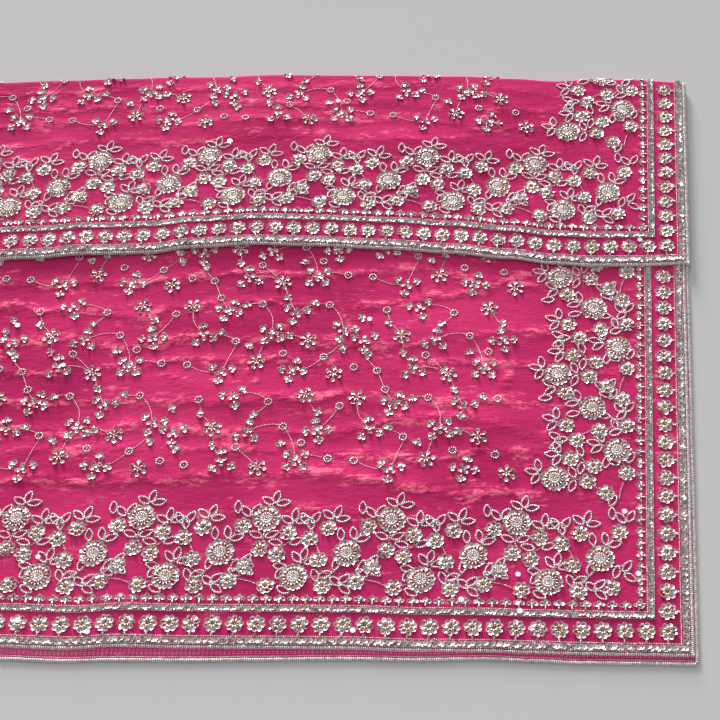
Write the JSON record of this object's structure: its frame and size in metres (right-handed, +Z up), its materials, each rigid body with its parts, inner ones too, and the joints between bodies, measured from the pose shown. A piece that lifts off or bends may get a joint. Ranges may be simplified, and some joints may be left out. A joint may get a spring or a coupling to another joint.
{
  "type": "dupatta stole, folded flat",
  "caption": "Long bordered dupatta of shot tissue silk, folded once across its length and with its top edge turned forward as a flap, lying flat.",
  "frame": {"origin": "middle of the folded cloth's box, on the surface that it lies on", "axes": "+X along the long hems towards the two pallu ends, +Y across the cloth from the open hem to the top fold, +Z up"},
  "size_m": [1.1946, 0.7168, 0.008],
  "materials": {
    "tissue": "shot magenta and coral tissue silk with a satin sheen",
    "bead_edging": "silver-lined bugle beads sewn side by side along the edge"
  },
  "bodies": {
    "root": {"under_layer": "tissue", "front_panel": "tissue", "flap_lining": "tissue", "flap_panel": "tissue", "under_hem_edging": "bead_edging", "under_side_edging": "bead_edging", "front_hem_edging": "bead_edging", "front_side_edging": "bead_edging", "lining_hem_edging": "bead_edging", "lining_side_edging": "bead_edging", "flap_hem_edging": "bead_edging", "flap_side_edging": "bead_edging"}
  },
  "joints": []
}
